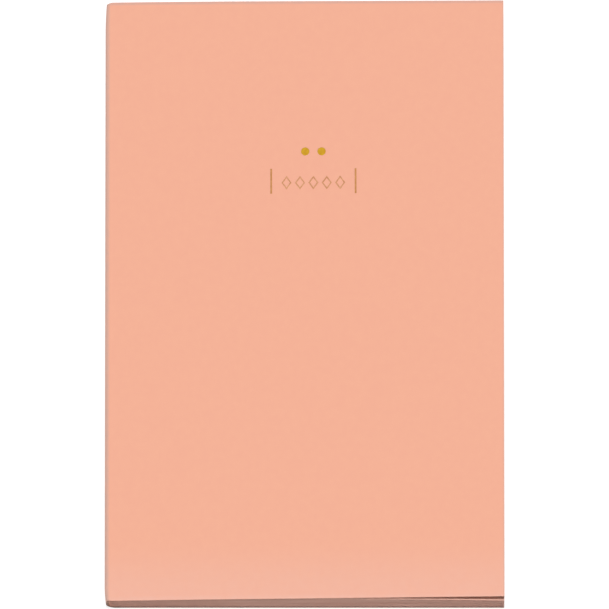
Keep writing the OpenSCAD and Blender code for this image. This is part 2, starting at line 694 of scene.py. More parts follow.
    def bump(self, height: Socket, grain: Grain) -> None:
        """Press a height into the shader's normal.

        Args:
            height: The height, as a share.
            grain: Its depth, in metres, and its strength.
        """
        node = self.add("ShaderNodeBump", Strength=grain.strength, Distance=grain.depth)
        self.link(height, node.inputs["Height"])
        self.link(node.outputs["Normal"], self.shader.inputs["Normal"])

    def set(self, **values: float) -> None:
        """Set constant values on the shader's own sockets."""
        for name, value in values.items():
            self.shader.inputs[name.replace("_", " ")].default_value = value


@dataclass(frozen=True)
class CardFinish:
    """Smooth coated card with a soft matte face, with rubbing and painted shade and sheen at its folds,
    darker, greyer bands at its edges and a painted sheen towards its tail.
    """

    form: BookForm
    name: str = "coated_card"
    face: Colour = srgb(244, 177, 151)
    warm: Colour = srgb(245, 179, 152)
    # Fold colour: rubbing, with painted shade and sheen where the folds turn from the light.
    rubbed_and_shaded: Colour = srgb(214, 176, 163)
    # A darker, greyer band along the head and the fore-edge.
    edge_band_colour: Colour = srgb(222, 172, 157)
    # A paler colour towards the tail: a painted sheen.
    tail_sheen_colour: Colour = srgb(243, 190, 173)
    drift: Grain = Grain(380.0, 4.0)
    patches: Grain = Grain(420.0, 5.0)
    patch_floor: float = 0.45
    front_fold_wear_and_shade: Fade = Fade(0.4 * MM, 1.5 * MM, 0.7)
    back_fold_wear_and_shade: Fade = Fade(0.8 * MM, 3.0 * MM, 0.55)
    head_band: Fade = Fade(0.35 * MM, 1.4 * MM, 0.9)
    fore_edge_band: Fade = Fade(0.1 * MM, 0.7 * MM, 0.5)
    tail_edge_sheen: Fade = Fade(0.5 * MM, 3.0 * MM, 0.7)
    tail_sheen: Fade = Fade(2.0 * MM, 22.0 * MM, 0.4)
    grain: Grain = Grain(5200.0, 4.0, 0.012 * MM, 0.35)
    roughness: float = 0.62
    specular: float = 0.28
    sheen: float = 0.05
    sheen_roughness: float = 0.5

    def build(self) -> bpy.types.Material:
        """Make the card's face: its drift of tone, a painted sheen towards the tail, darker bands at the
        edges and rubbing with painted shade and sheen at the folds, none of which runs even, and a fine
        grain.

        Returns:
            The material.
        """
        nodes = Nodes(self.name)
        where = nodes.place()
        colour = nodes.between(nodes.noise(where, self.drift), NARROW_BAND, self.face, self.warm)
        patches = nodes.noise(where, self.patches)
        # Over the card's tone: a painted sheen towards the tail, darker bands at the head and fore-edge,
        # and rubbing with painted shade and sheen at the folds.
        tone_bands = (
            (self._tail_sheen_share(nodes, where), self.tail_sheen_colour),
            (self._edge_band(nodes, where), self.edge_band_colour),
            (self._fold_wear_and_shade(nodes, where), self.rubbed_and_shaded),
        )
        for share, band_colour in tone_bands:
            patchy = nodes.worked("MULTIPLY", share, nodes.worked("ADD", patches, self.patch_floor))
            colour = nodes.blended(patchy, colour, band_colour)
        nodes.colour(colour)
        nodes.bump(nodes.noise(where, self.grain), self.grain)
        nodes.set(
            Roughness=self.roughness,
            Specular_IOR_Level=self.specular,
            Sheen_Weight=self.sheen,
            Sheen_Roughness=self.sheen_roughness,
        )
        return nodes.material

    def _fold_wear_and_shade(self, nodes: Nodes, where: Socket) -> Socket:
        """Darken and grey the card along the two folds at the spine: some rubbing, with painted shade and
        sheen where the folds turn from the light.

        Args:
            nodes: The node tree in the making.
            where: The place.

        Returns:
            The share of rubbing and painted shade.
        """
        left = -self.form.width / 2
        rise = math.sqrt(0.5)
        front_r, back_r = self.form.front_fold_r, self.form.back_fold_r
        front = nodes.fold_distance(where, left + front_r * (1 - rise), self.form.fold_cz + front_r * rise)
        back = nodes.fold_distance(where, left + back_r * (1 - rise), back_r * (1 - rise))
        return nodes.most_of(
            nodes.fade(front, self.front_fold_wear_and_shade), nodes.fade(back, self.back_fold_wear_and_shade)
        )

    def _edge_band(self, nodes: Nodes, where: Socket) -> Socket:
        """Darken and grey the card in narrow bands along the head and the fore-edge.

        Args:
            nodes: The node tree in the making.
            where: The place.

        Returns:
            The share of the bands.
        """
        form = self.form
        slant = form.head_skew / form.width
        head = nodes.line_distance(where, Vector((-slant, -1, 0)), (form.head_skew - form.height) / 2)
        fore = nodes.line_distance(where, Vector((-1, 0, 0)), -form.width / 2)
        return nodes.most_of(nodes.fade(head, self.head_band), nodes.fade(fore, self.fore_edge_band))

    def _tail_sheen_share(self, nodes: Nodes, where: Socket) -> Socket:
        """Give the share of paleness towards the tail: a painted sheen."""
        tail = nodes.line_distance(where, Vector((0, 1, 0)), -self.form.height / 2)
        return nodes.most_of(nodes.fade(tail, self.tail_edge_sheen), nodes.fade(tail, self.tail_sheen))


@dataclass(frozen=True)
class PaperFinish:
    """Plain paper, with its fibres and a faint cloudiness."""

    name: str
    face: Colour
    cloud: Colour
    clouds: Grain = Grain(160.0, 5.0)
    fibres: Grain = Grain(2600.0, 6.0, 0.02 * MM, 0.5)
    roughness: float = 0.85
    specular: float = 0.2

    def build(self) -> bpy.types.Material:
        """Make the paper.

        Returns:
            The material.
        """
        nodes = Nodes(self.name)
        where = nodes.place()
        nodes.colour(nodes.between(nodes.noise(where, self.clouds), WIDE_BAND, self.face, self.cloud))
        nodes.bump(nodes.noise(where, self.fibres), self.fibres)
        nodes.set(Roughness=self.roughness, Specular_IOR_Level=self.specular)
        return nodes.material


@dataclass(frozen=True)
class CutCardFinish:
    """Cut edges of the card: its core, toned down with painted shade, and darker still near the foot of the
    spine, with painted shade there.
    """

    form: BookForm
    name: str = "card_core_in_shade"
    # The core colours carry painted shade, for the shade under the cover's edge.
    core_in_shade: Colour = srgb(236, 186, 164)
    fibre: Colour = srgb(226, 172, 150)
    # Painted shade near the foot of the spine.
    spine_foot_shade: Colour = srgb(146, 120, 108)
    spine_foot_shade_fade: Fade = Fade(5.0 * MM, 12.0 * MM, 0.9)
    fibres: Grain = Grain(2600.0, 5.0, 0.02 * MM, 0.5)
    roughness: float = 0.85
    specular: float = 0.2

    def build(self) -> bpy.types.Material:
        """Make the cut edges.

        Returns:
            The material.
        """
        nodes = Nodes(self.name)
        where = nodes.place()
        fibres = nodes.noise(where, self.fibres)
        paper = nodes.between(fibres, WIDE_BAND, self.fibre, self.core_in_shade)
        # Painted shade: darker near the foot of the spine.
        foot = nodes.fold_distance(where, -self.form.width / 2, 0.0)
        nodes.colour(nodes.blended(nodes.fade(foot, self.spine_foot_shade_fade), paper, self.spine_foot_shade))
        nodes.bump(fibres, self.fibres)
        nodes.set(Roughness=self.roughness, Specular_IOR_Level=self.specular)
        return nodes.material


@dataclass(frozen=True)
class TintedEdgeFinish:
    """Trimmed edges of the leaves, sprayed with a tint that takes a little unevenly."""

    name: str = "tinted_leaf_edges"
    light: Colour = srgb(248, 204, 188)
    deep: Colour = srgb(238, 186, 168)
    # Painted contact shade near the table.
    contact_shade: Colour = srgb(190, 152, 144)
    contact_shade_fade: Fade = Fade(0.9 * MM, 3.4 * MM, 0.8)
    leaf_tones: Grain = Grain(0.83, 2.0)
    share_of_leaf: float = 0.55
    drift: Grain = Grain(60.0, 4.0)
    drift_stretch: tuple[float, float, float] = (1.0, 1.0, 22.0)
    fibres: Grain = Grain(9000.0, 3.0, 0.02 * MM, 0.4)
    fibre_stretch: tuple[float, float, float] = (0.2, 0.2, 1.0)
    roughness: float = 0.8
    specular: float = 0.2

    def build(self) -> bpy.types.Material:
        """Make the edges: a tone for each leaf, a slow drift along it, and painted contact shade near the
        table.

        Returns:
            The material.
        """
        nodes = Nodes(self.name)
        leaf = nodes.add("ShaderNodeAttribute", attribute_name=LEAF_ATTRIBUTE)
        tones = {"Scale": self.leaf_tones.scale, "Detail": self.leaf_tones.detail}
        each = nodes.add("ShaderNodeTexNoise", noise_dimensions="1D", **tones)
        nodes.link(leaf.outputs["Fac"], each.inputs["W"])
        where = nodes.place()
        drift = nodes.noise(nodes.stretched(where, self.drift_stretch), self.drift)
        tone = nodes.worked(
            "ADD",
            nodes.worked("MULTIPLY", each.outputs["Fac"], self.share_of_leaf),
            nodes.worked("MULTIPLY", drift, 1 - self.share_of_leaf),
        )
        tinted = nodes.between(tone, WIDE_BAND, self.deep, self.light)
        # Painted contact shade: darker towards the table.
        height = nodes.line_distance(where, Vector((0, 0, 1)), 0.0)
        nodes.colour(nodes.blended(nodes.fade(height, self.contact_shade_fade), tinted, self.contact_shade))
        nodes.bump(nodes.noise(nodes.stretched(where, self.fibre_stretch), self.fibres), self.fibres)
        nodes.set(Roughness=self.roughness, Specular_IOR_Level=self.specular)
        return nodes.material


@dataclass(frozen=True)
class FoilFinish:
    """Hot-stamped foil, pressed into the grain of the card."""

    name: str
    bright: Colour
    dull: Colour
    patches: Grain = Grain(900.0, 4.0)
    grain: Grain = Grain(5200.0, 4.0, 0.02 * MM, 0.6)
    roughness: float = 0.34

    def build(self) -> bpy.types.Material:
        """Make the foil, a little duller where the card's grain shows through it.

        Returns:
            The material.
        """
        nodes = Nodes(self.name)
        where = nodes.solid_place()
        nodes.colour(nodes.between(nodes.noise(where, self.patches), NARROW_BAND, self.dull, self.bright))
        nodes.bump(nodes.noise(where, self.grain), self.grain)
        nodes.set(Metallic=1.0, Roughness=self.roughness)
        return nodes.material


@dataclass(frozen=True)
class MullFinish:
    """Gauze that is glued over the backs of the leaves."""

    name: str = "glued_mull"
    threads: Colour = srgb(236, 230, 216)
    glue: Colour = srgb(214, 203, 180)
    pitch: float = 1.1 * MM
    waves_a_unit: float = 3.0
    distortion: float = 0.6
    thread_band: tuple[float, float] = (0.45, 0.8)
    weave: Grain = Grain(0.0, 0.0, 0.08 * MM, 0.7)
    roughness: float = 0.75
    specular: float = 0.3

    def build(self) -> bpy.types.Material:
        """Make the gauze: two crossing sets of threads in dried glue.

        Returns:
            The material.
        """
        nodes = Nodes(self.name)
        scale = 1 / self.pitch / self.waves_a_unit
        threads = []
        for axis in ("Y", "Z"):
            wave = nodes.add(
                "ShaderNodeTexWave", bands_direction=axis, Scale=scale, Distortion=self.distortion
            )
            nodes.link(nodes.place(), wave.inputs["Vector"])
            threads.append(wave.outputs["Fac"])
        cross = nodes.most_of(*threads)
        nodes.colour(nodes.between(cross, self.thread_band, self.glue, self.threads))
        nodes.bump(cross, self.weave)
        nodes.set(Roughness=self.roughness, Specular_IOR_Level=self.specular)
        return nodes.material


ENDPAPER = PaperFinish("endpaper", face=srgb(242, 196, 178), cloud=srgb(240, 193, 175))
LEAF_PAPER = PaperFinish("leaf_paper", face=srgb(247, 241, 228), cloud=srgb(244, 236, 221))
LEAF_EDGES = TintedEdgeFinish()
# The endpapers' cut edges are tinted and painted darker still: painted shade for the gap under the front
# cover's edge.
SHADED_ENDPAPER_EDGES = TintedEdgeFinish(
    "tinted_endpaper_cuts_in_shade", light=srgb(206, 150, 130), deep=srgb(192, 136, 116)
)
DOT_FOIL = FoilFinish("gold_foil", bright=srgb(216, 168, 50), dull=srgb(202, 150, 44))
# Darker, coppery foils for the bars and lozenges: painted shade of their narrow recesses, with some of the
# card's colour mixed in.
BAR_FOIL = FoilFinish("gold_foil_bars_in_shade", bright=srgb(212, 152, 98), dull=srgb(198, 136, 84))
LOZENGE_FOIL = FoilFinish("gold_foil_lozenges_in_shade", bright=srgb(222, 163, 122), dull=srgb(208, 146, 104))


@dataclass
class Finishes:
    """Every material of the book, each made once."""

    form: BookForm
    card: bpy.types.Material = field(init=False)
    core: bpy.types.Material = field(init=False)
    endpaper: bpy.types.Material = field(init=False)
    leaf: bpy.types.Material = field(init=False)
    edges: bpy.types.Material = field(init=False)
    shaded_endpaper_edges: bpy.types.Material = field(init=False)
    dot_foil: bpy.types.Material = field(init=False)
    bar_foil: bpy.types.Material = field(init=False)
    lozenge_foil: bpy.types.Material = field(init=False)
    mull: bpy.types.Material = field(init=False)

    def __post_init__(self) -> None:
        """Make the materials."""
        self.card = CardFinish(self.form).build()
        self.core = CutCardFinish(self.form).build()
        self.endpaper = ENDPAPER.build()
        self.leaf = LEAF_PAPER.build()
        self.edges = LEAF_EDGES.build()
        self.shaded_endpaper_edges = SHADED_ENDPAPER_EDGES.build()
        self.dot_foil = DOT_FOIL.build()
        self.bar_foil = BAR_FOIL.build()
        self.lozenge_foil = LOZENGE_FOIL.build()
        self.mull = MullFinish().build()


def link_object(name: str, mesh: bpy.types.Mesh) -> bpy.types.Object:
    """Put a mesh in the scene.

    Args:
        name: Name of the object.
        mesh: The mesh.

    Returns:
        The new object.
    """
    piece = bpy.data.objects.new(name, mesh)
    bpy.context.scene.collection.objects.link(piece)
    return piece


def soften(mesh: bpy.types.Mesh, sharpest: float = 20.0) -> None:
    """Shade a mesh smooth, but keep faces of many corners flat.

    Args:
        mesh: The mesh.
        sharpest: Edges that turn more than this many degrees stay sharp.
    """
    mesh.set_sharp_from_angle(angle=math.radians(sharpest))
    for polygon in mesh.polygons:
        polygon.use_smooth = len(polygon.vertices) <= MOST_SMOOTH_CORNERS


def keep_rest(mesh: bpy.types.Mesh) -> None:
    """Note where each point lies in the closed book, so that a finish stays put when a piece bends.

    Args:
        mesh: The mesh.
    """
    rest = mesh.attributes.new(REST_ATTRIBUTE, "FLOAT_VECTOR", "POINT")
    for vert, value in zip(mesh.vertices, rest.data):
        value.vector = vert.co


class Face(Enum):
    """The faces of a sheet, by their place in its list of materials."""

    OUTER = 0
    INNER = 1
    CUT = 2


@dataclass
class Sheet:
    """A sheet of card or paper that follows a section from tail to head."""

    name: str
    form: BookForm
    stations: list[Station]
    thickness: float
    body: Body
    slot: Slot
    nodes: tuple[str, ...]
    draw: float = 0.0
    hollow: float = 0.0

    def build(
        self, outer: bpy.types.Material, inner: bpy.types.Material, cut: bpy.types.Material
    ) -> bpy.types.Object:
        """Model the sheet as a closed thin solid.

        Args:
            outer: Material of the outer face.
            inner: Material of the inner face.
            cut: Material of the cut edges.

        Returns:
            The new piece, with no parent yet.
        """
        mesh = bpy.data.meshes.new(self.name)
        work = bmesh.new()
        outside = [self._row(work, station, 0.0) for station in self.stations]
        inside = [self._row(work, station, self.thickness) for station in self.stations]
        self._skin(work, outside, Face.OUTER)
        self._skin(work, inside, Face.INNER)
        self._skin(work, [outside[0], inside[0]], Face.CUT)
        self._skin(work, [outside[-1], inside[-1]], Face.CUT)
        for end in (0, -1):
            self._skin(work, [[row[end] for row in outside], [row[end] for row in inside]], Face.CUT)
        bmesh.ops.recalc_face_normals(work, faces=work.faces)
        work.to_mesh(mesh)
        work.free()
        for material in (outer, inner, cut):
            mesh.materials.append(material)
        return link_object(self.name, mesh)

    def settle(self, piece: bpy.types.Object) -> None:
        """Note the piece's rest points, hide the nodes that it stands for and let it ride on its body.

        Args:
            piece: The finished piece.
        """
        keep_rest(piece.data)
        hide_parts(*self.nodes)
        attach(piece, self.body.value)
        log.info("%s rides on %s: %d faces", self.name, self.body.value, len(piece.data.polygons))

    def settle_bent(self, piece: bpy.types.Object) -> None:
        """Note the piece's rest points, hide the nodes that it stands for and bake its placing into its
        mesh.

        Args:
            piece: The finished piece.
        """
        keep_rest(piece.data)
        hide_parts(*self.nodes)
        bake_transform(piece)
        log.info("%s bends to %s: %d faces", self.name, self.body.value, len(piece.data.polygons))

    def _row(self, work: bmesh.types.BMesh, station: Station, depth: float) -> list[bmesh.types.BMVert]:
        """Add a row of points from tail to head.

        Args:
            work: The mesh in the making.
            station: Where the row lies in the section.
            depth: How far inside the sheet it lies.

        Returns:
            The row.
        """
        x, z = station.sunk(depth)
        rows = self.form.rows(station.x, self.draw, self.hollow)
        return [work.verts.new(self.form.placed(min(x, self.form.width), y, z)) for y in rows]

    def _skin(self, work: bmesh.types.BMesh, rows: list[list[bmesh.types.BMVert]], face: Face) -> None:
        """Join neighbouring rows with quads.

        Args:
            work: The mesh in the making.
            rows: Rows of points, of equal length.
            face: Which face of the sheet they make.
        """
        for near, far in zip(rows, rows[1:]):
            for i in range(len(near) - 1):
                quad = work.faces.new((near[i], near[i + 1], far[i + 1], far[i]))
                quad.material_index = face.value


@dataclass
class Stamping:
    """The foil on the front cover, and the recesses that its stamp pressed into the card."""

    form: BookForm
    finishes: Finishes
    nodes: tuple[str, ...] = ("foil_dots", "foil_bars", "foil_lozenges")
    weld: float = 0.002 * MM
    clear_of_face: float = 0.5 * MM
    slack: float = 0.3 * MM
    on_face_within: float = 0.01 * MM
    rim_turn: float = 45.0
    rim: float = 0.06 * MM
    rim_steps: int = 2
    rim_roundness: float = 0.5

    def dress(self) -> None:
        """Give the frame's foil pieces their finishes: the bars and lozenges take darker, coppery foils
        that carry painted shade of their narrow recesses.
        """
        foils = (self.finishes.dot_foil, self.finishes.bar_foil, self.finishes.lozenge_foil)
        for name, foil in zip(self.nodes, foils):
            piece = frame["nodes"][name]
            for place in piece.material_slots:
                place.material = foil
            log.info("%s keeps its solid, with %s on it", name, foil.name)

    def press(self, cover: bpy.types.Object) -> None:
        """Cut the recesses out of the cover's outer face and soften their rims.

        Args:
            cover: The wrap's front, whose mesh is replaced by the pressed one.
        """
        cutter = self._cutter()
        cut = cover.modifiers.new("recesses", "BOOLEAN")
        cut.operation = "DIFFERENCE"
        cut.solver = "EXACT"
        cut.object = cutter
        bpy.context.view_layer.update()
        shown = cover.evaluated_get(bpy.context.evaluated_depsgraph_get())
        pressed = bpy.data.meshes.new_from_object(shown)
        cover.modifiers.clear()
        cover.data = pressed
        bpy.data.objects.remove(cutter)
        self._round_rims(pressed)

    def _normal(self) -> Vector:
        """Direction out of the straight part of the front cover."""
        lean = self.form.spring_lean
        return Vector((-math.sin(lean), 0, math.cos(lean)))

    def _face_height(self, point: Vector) -> float:
        """Measure how high a point lies over the front cover's straight outer face.

        Args:
            point: The point.

        Returns:
            The height, which is negative inside the card.
        """
        lean = self.form.spring_lean
        on_face = Vector((self.form.spring_x - self.form.width / 2, 0, 0))
        on_face.z = self.form.swell_cz + self.form.outer_r * math.cos(lean)
        return (point - on_face).dot(self._normal())

    def _cutter(self) -> bpy.types.Object:
        """Raise the upper faces of the foil pieces until they stand clear of the card.

        Returns:
            An object to cut the recesses with.
        """
        work = bmesh.new()
        for name in self.nodes:
            work.from_mesh(frame["nodes"][name].data)
        bmesh.ops.remove_doubles(work, verts=work.verts, dist=self.weld)
        heights = [self._face_height(vert.co) for vert in work.verts]
        middle = (min(heights) + max(heights)) / 2
        for vert, height in zip(work.verts, heights):
            if height > middle:
                vert.co += self._normal() * (self.clear_of_face - height)
        mesh = bpy.data.meshes.new("stamp")
        bmesh.ops.recalc_face_normals(work, faces=work.faces)
        work.to_mesh(mesh)
        work.free()
        return link_object("stamp", mesh)

    def _round_rims(self, mesh: bpy.types.Mesh) -> None:
        """Round the edges where the recesses meet the cover's face.

        Args:
            mesh: The pressed mesh of the cover.
        """
        lows = [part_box(name)[0] for name in self.nodes]
        highs = [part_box(name)[1] for name in self.nodes]
        low_x, high_x = min(v.x for v in lows), max(v.x for v in highs)
        low_y, high_y = min(v.y for v in lows), max(v.y for v in highs)
        slack = self.slack
        work = bmesh.new()
        work.from_mesh(mesh)
        rims = []
        for edge in work.edges:
            inside = all(
                low_x - slack < vert.co.x < high_x + slack and low_y - slack < vert.co.y < high_y + slack
                for vert in edge.verts
            )
            on_face = all(abs(self._face_height(vert.co)) < self.on_face_within for vert in edge.verts)
            if inside and on_face and edge.calc_face_angle(0.0) > math.radians(self.rim_turn):
                rims.append(edge)
        bmesh.ops.bevel(
            work,
            geom=rims,
            offset=self.rim,
            segments=self.rim_steps,
            affect="EDGES",
            profile=self.rim_roundness,
        )
        work.to_mesh(mesh)
        work.free()
        log.info("stamping: %d rim edges rounded", len(rims))


@dataclass
class Wrap:
    """The card that wraps the book: two pieces that meet, unseen, along the middle of the spine."""

    form: BookForm
    finishes: Finishes

    def build_front(self) -> bpy.types.Object:
        """Model the front cover with its fold and the upper half of the spine.

        Returns:
            The piece.
        """
        sheet = Sheet(
            "wrap_front",
            self.form,
            self.form.front_wrap(),
            self.form.cover_t,
            Body.FRONT,
            Slot.CARD,
            ("front_cover", "spine_cover"),
            self.form.tail_draw,
            self.form.cover_hollow,
        )
        piece = sheet.build(self.finishes.card, self.finishes.card, self.finishes.core)
        stamping = Stamping(self.form, self.finishes)
        stamping.press(piece)
        stamping.dress()
        soften(piece.data)
        sheet.settle_bent(piece)
        return piece

    def build_back(self) -> bpy.types.Object:
        """Model the back cover with its fold and the lower half of the spine.

        Returns:
            The piece.
        """
        sheet = Sheet(
            "wrap_back",
            self.form,
            self.form.back_wrap(),
            self.form.cover_t,
            Body.BACK,
            Slot.CARD,
            ("back_cover",),
        )
        piece = sheet.build(self.finishes.card, self.finishes.card, self.finishes.core)
        soften(piece.data)
        sheet.settle_bent(piece)
        return piece

    def front_crease(self) -> tuple[Vector, Vector]:
        """Place the bend beside the front hinge.

        Returns:
            Its start and end.
        """
        x, z = self.form.front_hinge
        start = Vector((x - self.form.width / 2, 0, z))
        return start, start + Vector((self.form.front_bend, 0, 0))


@dataclass
class Endpapers:
    """The pastedowns inside the covers and the flyleaves on the leaves."""

    form: BookForm
    finishes: Finishes
    wrap: Wrap

    def build(self) -> None:
        """Model and settle all four sheets."""
        form = self.form
        paper = self.finishes.endpaper
        # The endpapers' cut edges carry painted shade.
        trimmed = self.finishes.shaded_endpaper_edges
        front_paste = Sheet(
            "pastedown_front",
            form,
            form.cover_run(form.inner_r, form.paste_lean),
            form.endpaper_t,
            Body.FRONT,
            Slot.ENDPAPER,
            ("front_pastedown",),
            form.tail_draw,
            form.cover_hollow,
        )
        piece = front_paste.build(paper, paper, trimmed)
        soften(piece.data)
        start, end = self.wrap.front_crease()
        front_paste.settle_bent(piece)
        for sheet in (self._front_flyleaf(), self._back_flyleaf(), self._back_pastedown()):
            piece = sheet.build(paper, paper, trimmed)
            soften(piece.data)
            sheet.settle(piece)

    def _front_flyleaf(self) -> Sheet:
        """Describe the free endpaper that lies on the leaves under the front cover.

        Returns:
            The sheet.
        """
        form = self.form
        return Sheet(
            "flyleaf_front",
            form,
            form.leaves_run(form.endpaper_t, form.front_hinge[0]),
            form.endpaper_t,
            Body.BLOCK,
            Slot.ENDPAPER,
            ("front_flyleaf",),
            hollow=form.leaves_hollow,
        )

    def _back_flyleaf(self) -> Sheet:
        """Describe the free endpaper under the leaves.

        Returns:
            The sheet.
        """
        form = self.form
        low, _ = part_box("back_flyleaf")
        start_x = low.x + form.width / 2
        stations = [Station(start_x, low.z, 0, -1), Station(form.width, low.z, 0, -1)]
        return Sheet(
            "flyleaf_back", form, stations, form.endpaper_t, Body.BLOCK, Slot.ENDPAPER, ("back_flyleaf",)
        )

    def _back_pastedown(self) -> Sheet:
        """Describe the endpaper that is pasted inside the back cover.

        Returns:
            The sheet.
        """
        form = self.form
        low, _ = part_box("back_pastedown")
        start_x = low.x + form.width / 2
        stations = [Station(start_x, low.z, 0, -1), Station(form.width, low.z, 0, -1)]
        return Sheet(
            "pastedown_back", form, stations, form.endpaper_t, Body.BACK, Slot.ENDPAPER, ("back_pastedown",)
        )


@dataclass
class SpineLining:
    """The glue and gauze on the backs of the leaves."""

    form: BookForm
    finishes: Finishes

    def build(self) -> bpy.types.Object:
        """Model the strip between the spine and the leaves.

        Returns:
            The piece.
        """
        form = self.form
        low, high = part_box("spine_lining")
        stations = [Station(form.cover_t, z, -1, 0) for z in (low.z, (low.z + high.z) / 2, high.z)]
        sheet = Sheet("lining", form, stations, form.lining_t, Body.BLOCK, Slot.MULL, ("spine_lining",))
        piece = sheet.build(self.finishes.mull, self.finishes.mull, self.finishes.core)
        soften(piece.data)
        sheet.settle(piece)
        return piece


@dataclass
class LeafBlock:
    """The leaves, with an edge of its own for each on the three trimmed sides."""

    form: BookForm
    finishes: Finishes
    leaves: int = 88
    groove: float = 0.02 * MM
    uneven: float = 0.06 * MM
    wander: float = 0.025 * MM
    wander_turns: tuple[float, float] = (2, 7)
    corner_columns: int = 8
    swell_columns: int = 12
    crest_columns: int = 16
    sharpest: float = 35.0
    seed: int = 27

    def build(self) -> bpy.types.Object:
        """Model the block of leaves and let it ride on its body.

        Returns:
            The piece.
        """
        chance = random.Random(self.seed)
        insets = self._insets(chance)
        mesh = bpy.data.meshes.new("leaves")
        work = bmesh.new()
        leaf_layer = work.verts.layers.float.new(LEAF_ATTRIBUTE)
        columns = self._columns()
        border = self._border(columns)
        rings = []
        levels = 2 * self.leaves
        for level in range(levels + 1):
            ring = []
            for step, (x, row, out_x, out_y) in enumerate(border):
                inset = insets(level, step / len(border))
                vert = work.verts.new(self._point(x, row, level / levels, inset, out_x, out_y))
                vert[leaf_layer] = level / 2
                ring.append(vert)
            rings.append(ring)
        for low, high in zip(rings, rings[1:]):
            for i in range(len(low)):
                after = (i + 1) % len(low)
                side = work.faces.new((low[i], low[after], high[after], high[i]))
                side.material_index = 1
        self._cap(work, columns, border, rings[0], 0.0)
        self._cap(work, columns, border, rings[-1], 1.0)
        bmesh.ops.recalc_face_normals(work, faces=work.faces)
        work.to_mesh(mesh)
        work.free()
        mesh.materials.append(self.finishes.leaf)
        mesh.materials.append(self.finishes.edges)
        soften(mesh, self.sharpest)
        keep_rest(mesh)
        piece = link_object("leaves", mesh)
        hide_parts("page_block")
        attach(piece, Body.BLOCK.value)
        log.info("leaves rides on block: %d faces", len(mesh.polygons))
        return piece

    def _insets(self, chance: random.Random) -> Callable[[int, float], float]:
        """Choose how far each leaf draws back from the trimmed face, and how it wanders.

        Args:
            chance: The seeded source of chance.

        Returns:
            A function of the level and of the share of the way round, which gives the inset.
        """
        depth = [self.uneven * chance.random() ** 2 for _ in range(self.leaves + 1)]
        waves = []
        for _ in range(self.leaves + 1):
            waves.append((chance.uniform(*self.wander_turns), chance.uniform(0, 2 * math.pi)))

        def leaf_inset(leaf: int, share: float) -> float:
            """Find how far one leaf's edge draws back.

            Args:
                leaf: Number of the leaf, from the bottom.
                share: Share of the way round the block.

            Returns:
                The inset.
            """
            held = min(leaf, self.leaves)
            turns, phase = waves[held]
            return depth[held] + self.wander * (1 + math.sin(2 * math.pi * turns * share + phase)) / 2

        def inset(level: int, share: float) -> float:
            """Find how far a level draws back: a leaf at odd levels, the groove between two at even ones.

            Args:
                level: Number of the level, from the bottom.
                share: Share of the way round the block.

            Returns:
                The inset.
            """
            leaf = level // 2
            if level % 2:
                return leaf_inset(leaf, share)
            return max(leaf_inset(max(leaf - 1, 0), share), leaf_inset(leaf, share)) + self.groove

        return inset

    def _columns(self) -> list[float]:
        """Divide the block between the spine and the fore-edge, closer in its rounded corner.

        Returns:
            The distances from the spine.
        """
        form = self.form
        columns = []
        for i in range(self.corner_columns + 1):
            columns.append(form.leaves_x + form.leaves_corner_r * (i / self.corner_columns) ** 2)
        corner_end = columns[-1]
        for i in range(1, self.swell_columns + 1):
            columns.append(corner_end + (form.spring_start - corner_end) * i / self.swell_columns)
        for i in range(1, self.crest_columns + 1):
            columns.append(form.spring_start + (form.width - form.spring_start) * i / self.crest_columns)
        return columns

    def _border(self, columns: list[float]) -> list[tuple[float, int, float, float]]:
        """Walk round the block: tail, fore-edge, head and spine.

        Args:
            columns: The distances from the spine.

        Returns:
            For each point its x, its row number and the direction out of the trimmed faces there.
        """
        last_row = len(self.form.rows(0, 0)) - 1
        tail = [(x, 0, 0.0, -1.0) for x in columns[:-1]]
        fore = [(columns[-1], row, 1.0, 0.0) for row in range(1, last_row)]
        head = [(x, last_row, 0.0, 1.0) for x in reversed(columns[:-1])]
        spine = [(columns[0], row, 0.0, 0.0) for row in range(last_row - 1, 0, -1)]
        tail_corner = (columns[-1], 0, 1.0, -1.0)
        head_corner = (columns[-1], last_row, 1.0, 1.0)
        return [*tail, tail_corner, *fore, head_corner, *head, *spine]

    def _height(self, x: float, share: float) -> float:
        """Find a leaf's height.

        Args:
            x: Distance from the spine.
            share: The leaf's share of the way up the block.

        Returns:
            The height over the table.
        """
        low = self.form.leaves_bottom_z(x)
        return low + (self.form.leaves_height(x) - low) * share

    def _point(self, x: float, row: int, share: float, inset: float, out_x: float, out_y: float) -> Vector:
        """Place a point of a leaf's edge.

        Args:
            x: Distance from the spine.
            row: Number of the row, from tail to head.
            share: The leaf's share of the way up the block.
            inset: How far the edge draws back from the trimmed faces.
            out_x: Direction out of the fore-edge there, 0 or 1.
            out_y: Direction out of the tail or the head there, -1, 0 or 1.

        Returns:
            The point.
        """
        y = self.form.rows(x, 0, self.form.leaves_hollow * share**2)[row]
        return self.form.placed(x - out_x * inset, y - out_y * inset, self._height(x, share))

    def _cap(
        self,
        work: bmesh.types.BMesh,
        columns: list[float],
        border: list[tuple[float, int, float, float]],
        ring: list[bmesh.types.BMVert],
        share: float,
    ) -> None:
        """Close the top or the bottom of the block with a grid that meets its border.

        Args:
            work: The mesh in the making.
            columns: Distances from the spine.
            border: The walk round the block.
            ring: The border's points at this level.
            share: 0 at the bottom and 1 at the top.
        """
        found = {(x, row): vert for (x, row, _, _), vert in zip(border, ring)}
        last_row = len(self.form.rows(0, 0)) - 1
        grid = []
        for x in columns:
            column = []
            for row in range(last_row + 1):
                vert = found.get((x, row))
                if vert is None:
                    vert = work.verts.new(self._point(x, row, share, 0.0, 0.0, 0.0))
                column.append(vert)
            grid.append(column)
        for near, far in zip(grid, grid[1:]):
            for row in range(last_row):
                work.faces.new((near[row], near[row + 1], far[row + 1], far[row])).material_index = 0


